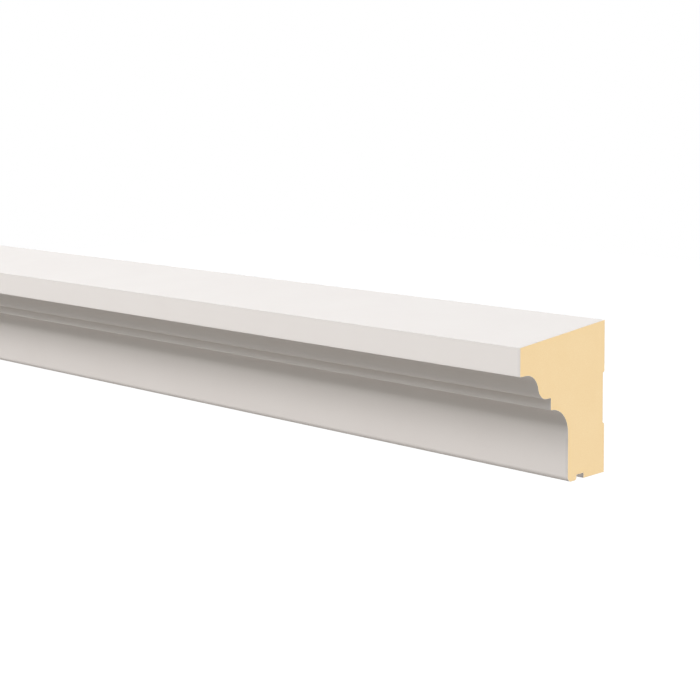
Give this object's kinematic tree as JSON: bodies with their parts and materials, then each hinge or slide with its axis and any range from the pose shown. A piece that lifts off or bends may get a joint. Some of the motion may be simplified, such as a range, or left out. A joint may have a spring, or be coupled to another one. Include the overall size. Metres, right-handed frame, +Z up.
{
  "type": "facade band moulding",
  "caption": "Straight rigid-foam facade moulding with a sloped top, fascia, cyma, fillet, cove, plain frieze and drip groove, glued to a wall by its back.",
  "frame": {"origin": "on the wall plane, halfway along the length, at mid-height of the upper back land: the point of mount wall_upper_land", "axes": "+X along the length, +Y out of the back and into the wall, +Z up; the moulded face looks along -Y"},
  "size_m": [1, 0.1235, 0.14],
  "materials": {
    "facade_paint": "matt warm-white factory paint on the moulded faces, with a faint orange peel; the two cut ends show bare pale-yellow rigid foam with fine closed cells"
  },
  "bodies": {
    "root": {"band_moulding": "facade_paint"}
  },
  "joints": []
}
